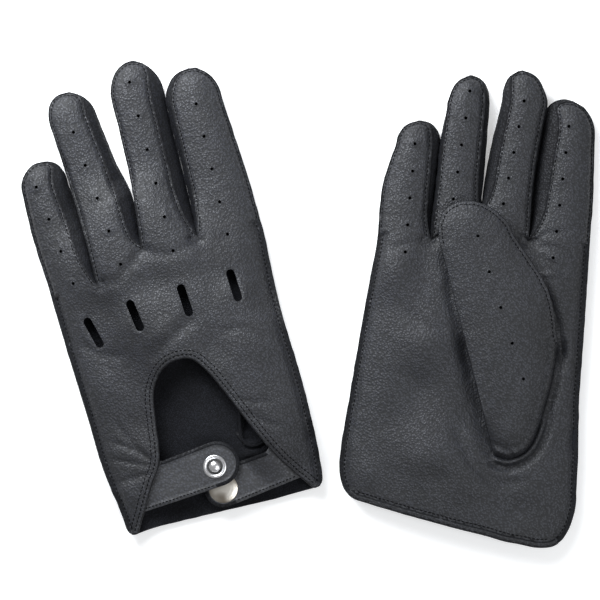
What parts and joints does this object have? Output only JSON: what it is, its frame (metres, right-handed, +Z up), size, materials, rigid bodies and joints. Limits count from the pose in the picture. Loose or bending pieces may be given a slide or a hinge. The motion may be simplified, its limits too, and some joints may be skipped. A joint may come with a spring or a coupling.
{
  "type": "pair of driving gloves",
  "caption": "Pair of unlined black leather driving gloves with perforated fingers, knuckle slots, a teardrop opening on the back and a snap tab at the wrist.",
  "frame": {"origin": "centre of the pair's footprint on the surface it lies on", "axes": "+Z up from the surface, +Y towards the fingertips, +X from the left glove to the right glove"},
  "size_m": [0.293, 0.246, 0.0233],
  "materials": {
    "leather": "pebbled black deerskin, soft sheen",
    "side_leather": "black deerskin in the side walls and gusset, suede inside",
    "binding_leather": "turned and stitched black leather edge",
    "tab_leather": "doubled and stitched black leather",
    "nickel": "bright nickel plate"
  },
  "bodies": {
    "left_hand": {"left_back_panel": "leather", "left_palm_panel": "leather", "left_fourchette_little_ring": "side_leather", "left_fourchette_ring_middle": "side_leather", "left_fourchette_middle_index": "side_leather", "left_cuff_binding": "binding_leather", "left_opening_binding": "binding_leather", "left_thumb_gusset": "side_leather"},
    "left_little_finger": {"left_little_back": "leather", "left_little_palm": "leather", "left_little_fourchettes": "side_leather"},
    "left_ring_finger": {"left_ring_back": "leather", "left_ring_palm": "leather", "left_ring_fourchettes": "side_leather"},
    "left_middle_finger": {"left_middle_back": "leather", "left_middle_palm": "leather", "left_middle_fourchettes": "side_leather"},
    "left_index_finger": {"left_index_back": "leather", "left_index_palm": "leather", "left_index_fourchettes": "side_leather"},
    "left_thumb": {"left_thumb_outer": "leather", "left_thumb_inner": "leather"},
    "left_stud_tab": {"left_stud_tab": "tab_leather", "left_snap_stud": "nickel", "left_snap_post": "nickel"},
    "left_cap_tab": {"left_cap_tab": "tab_leather", "left_snap_cap": "nickel", "left_snap_socket": "nickel"},
    "right_hand": {"right_back_panel": "leather", "right_palm_panel": "leather", "right_fourchette_little_ring": "side_leather", "right_fourchette_ring_middle": "side_leather", "right_fourchette_middle_index": "side_leather", "right_cuff_binding": "binding_leather", "right_opening_binding": "binding_leather", "right_thumb_gusset": "side_leather"},
    "right_little_finger": {"right_little_back": "leather", "right_little_palm": "leather", "right_little_fourchettes": "side_leather"},
    "right_ring_finger": {"right_ring_back": "leather", "right_ring_palm": "leather", "right_ring_fourchettes": "side_leather"},
    "right_middle_finger": {"right_middle_back": "leather", "right_middle_palm": "leather", "right_middle_fourchettes": "side_leather"},
    "right_index_finger": {"right_index_back": "leather", "right_index_palm": "leather", "right_index_fourchettes": "side_leather"},
    "right_thumb": {"right_thumb_outer": "leather", "right_thumb_inner": "leather"},
    "right_stud_tab": {"right_stud_tab": "tab_leather", "right_snap_stud": "nickel", "right_snap_post": "nickel"},
    "right_cap_tab": {"right_cap_tab": "tab_leather", "right_snap_cap": "nickel", "right_snap_socket": "nickel"}
  },
  "joints": [
    {"name": "right_glove_lift", "type": "slide", "parent": "left_hand", "child": "right_hand", "axis": [0, 0, 1], "range_m": [0, 0.15]},
    {"name": "left_little_bend", "type": "hinge", "parent": "left_hand", "child": "left_little_finger", "pos_m": [-0.12925, 0.0365, 0.0121], "axis": [0.9584, 0.2855, 0], "range_deg": [0, 75]},
    {"name": "left_ring_bend", "type": "hinge", "parent": "left_hand", "child": "left_ring_finger", "pos_m": [-0.1045, 0.04875, 0.01925], "axis": [0.9538, 0.3003, 0], "range_deg": [0, 75]},
    {"name": "left_middle_bend", "type": "hinge", "parent": "left_hand", "child": "left_middle_finger", "pos_m": [-0.07925, 0.0685, 0.01228], "axis": [0.9827, 0.1854, 0], "range_deg": [0, 75]},
    {"name": "left_index_bend", "type": "hinge", "parent": "left_hand", "child": "left_index_finger", "pos_m": [-0.0465, 0.06225, 0.0121], "axis": [0.9701, 0.2425, 0], "range_deg": [0, 75]},
    {"name": "left_thumb_fold", "type": "hinge", "parent": "left_hand", "child": "left_thumb", "pos_m": [-0.02944, -0.03874, 0.0038], "axis": [-0.1323, -0.9912, 0], "range_deg": [0, 150]},
    {"name": "left_stud_tab_lift", "type": "hinge", "parent": "left_hand", "child": "left_stud_tab", "pos_m": [-0.07939, -0.09311, 0.0128], "axis": [-0.3039, -0.9527, 0], "range_deg": [0, 120]},
    {"name": "left_cap_tab_lift", "type": "hinge", "parent": "left_hand", "child": "left_cap_tab", "pos_m": [-0.0134, -0.08199, 0.0097], "axis": [-0.7945, 0.6073, 0], "range_deg": [0, 46]},
    {"name": "right_little_bend", "type": "hinge", "parent": "right_hand", "child": "right_little_finger", "pos_m": [0.05075, 0.0585, 0.0121], "axis": [0.9937, -0.1125, 0], "range_deg": [0, 85]},
    {"name": "right_ring_bend", "type": "hinge", "parent": "right_hand", "child": "right_ring_finger", "pos_m": [0.0784, 0.0745, 0.0121], "axis": [0.9965, -0.0837, 0], "range_deg": [0, 85]},
    {"name": "right_middle_bend", "type": "hinge", "parent": "right_hand", "child": "right_middle_finger", "pos_m": [0.10375, 0.071, 0.0121], "axis": [0.9926, -0.1215, 0], "range_deg": [0, 85]},
    {"name": "right_index_bend", "type": "hinge", "parent": "right_hand", "child": "right_index_finger", "pos_m": [0.1308, 0.057, 0.0121], "axis": [0.9976, -0.0688, 0], "range_deg": [0, 85]},
    {"name": "right_thumb_fold", "type": "hinge", "parent": "right_hand", "child": "right_thumb", "pos_m": [0.11013, -0.048, 0.0195], "axis": [0.4985, 0.8669, 0], "range_deg": [0, 180]},
    {"name": "right_stud_tab_lift", "type": "hinge", "parent": "right_hand", "child": "right_stud_tab", "pos_m": [0.04329, -0.07936, 0.0025], "axis": [0.6427, 0.7662, 0], "range_deg": [0, 120]},
    {"name": "right_cap_tab_lift", "type": "hinge", "parent": "right_hand", "child": "right_cap_tab", "pos_m": [0.10856, -0.09411, 0.0056], "axis": [0.5046, -0.8633, 0], "range_deg": [0, 46]}
  ],
  "couplings": [
    {"joint": "left_cap_tab_lift", "follows": "left_stud_tab_lift", "ratio": 0.38},
    {"joint": "right_cap_tab_lift", "follows": "right_stud_tab_lift", "ratio": 0.38}
  ]
}
